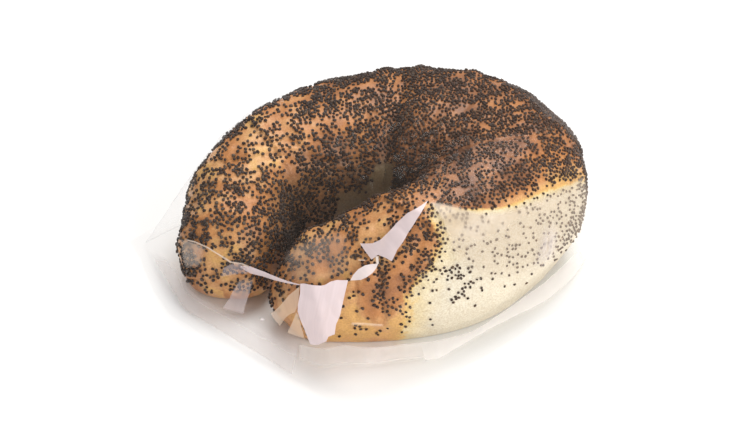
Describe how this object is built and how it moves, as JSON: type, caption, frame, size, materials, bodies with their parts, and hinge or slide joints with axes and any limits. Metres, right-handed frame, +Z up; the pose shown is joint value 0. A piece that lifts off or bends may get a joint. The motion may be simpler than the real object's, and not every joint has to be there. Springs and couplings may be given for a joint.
{
  "type": "bagged crescent roll",
  "caption": "Poppy-seeded crescent roll, bent until its ends nearly touch, lying flat in a clear bag pulled tight over it and down to the table like a tent.",
  "frame": {"origin": "on the table, in the middle of the bag's footprint", "axes": "+Z up, -Y towards the viewer of the picture, +X to the viewer's right; the gap between the roll's ends faces -Y and a little to -X"},
  "size_m": [0.1494, 0.1308, 0.0518],
  "materials": {
    "crust": "baked crust, brown on top and cream on the lower right flank, with dark poppy seeds",
    "film": "clear glossy wrapping film"
  },
  "bodies": {
    "root": {"roll": "crust", "film_bag": "film"}
  },
  "joints": []
}
